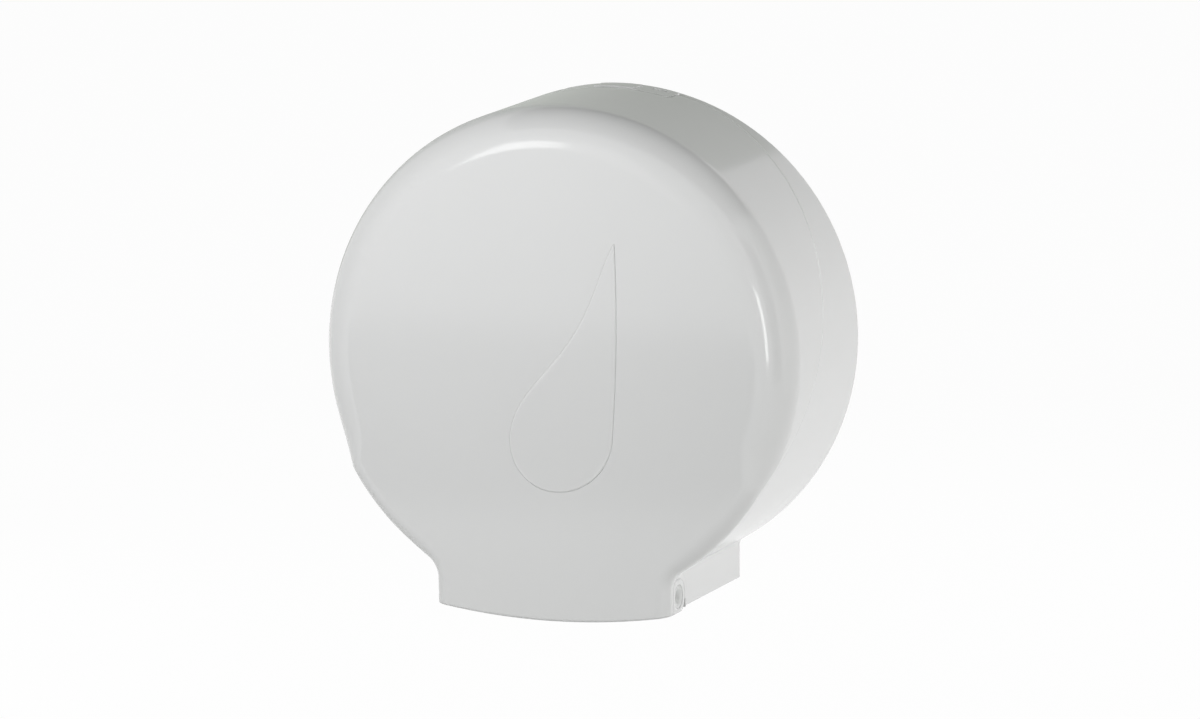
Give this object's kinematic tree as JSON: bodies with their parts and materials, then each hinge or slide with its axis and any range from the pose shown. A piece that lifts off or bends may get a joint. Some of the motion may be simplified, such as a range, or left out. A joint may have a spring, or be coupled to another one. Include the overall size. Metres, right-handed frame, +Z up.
{
  "type": "jumbo toilet roll dispenser",
  "caption": "Round wall dispenser for a large toilet roll: deep tilted-seam cover hinged at the neck, sprung top latch, turning core hub and toothed tear edges.",
  "frame": {"origin": "centre of the round body on the wall plane, which is also the roll's turning axis", "axes": "+X to the right seen from the front, +Y into the wall, +Z up"},
  "size_m": [0.27, 0.1289, 0.2799],
  "materials": {
    "cover_abs": "polished white ABS",
    "shell_abs": "polished white ABS",
    "latch_abs": "polished white ABS",
    "pin_abs": "white moulded plastic",
    "inner_plastic": "satin white moulded plastic",
    "hub_plastic": "satin grey moulded plastic",
    "natural_acetal": "natural acetal",
    "spring_steel": "spring steel",
    "strip_steel": "stamped stainless steel",
    "zinc_screws": "zinc plated steel"
  },
  "bodies": {
    "shell": {"rear_shell": "shell_abs", "hinge_pin_left": "pin_abs", "hinge_pin_right": "pin_abs", "hinge_clips": "spring_steel", "latch_bracket": "inner_plastic", "latch_spring": "spring_steel", "latch_pivot_pin": "spring_steel", "latch_screws": "zinc_screws", "spindle_post": "inner_plastic", "spindle_screws": "zinc_screws", "hub_washer": "natural_acetal", "hub_end_cap": "hub_plastic", "hub_cap_screw": "zinc_screws", "rear_tear_bar": "inner_plastic", "rear_bar_screws": "zinc_screws"},
    "cover": {"front_cover": "cover_abs", "front_tear_strip": "strip_steel", "front_strip_screws": "zinc_screws"},
    "hub": {"core_hub": "hub_plastic"},
    "latch": {"latch_tongue": "latch_abs"}
  },
  "joints": [
    {"name": "cover_hinge", "type": "hinge", "parent": "shell", "child": "cover", "pos_m": [0, -0.105, -0.1295], "axis": [1, 0, 0], "range_deg": [0, 95], "deforming": ["latch_spring"]},
    {"name": "hub_spin", "type": "hinge", "parent": "shell", "child": "hub", "pos_m": [0, -0.0595, 0], "axis": [0, -1, 0], "continuous": true},
    {"name": "latch_press", "type": "hinge", "parent": "shell", "child": "latch", "pos_m": [0, -0.0082, 0.1266], "axis": [1, 0, 0], "range_deg": [0, 4], "stiffness_Nm_per_rad": 0.5, "springref_deg": -1.15, "deforming": ["latch_spring"]}
  ]
}
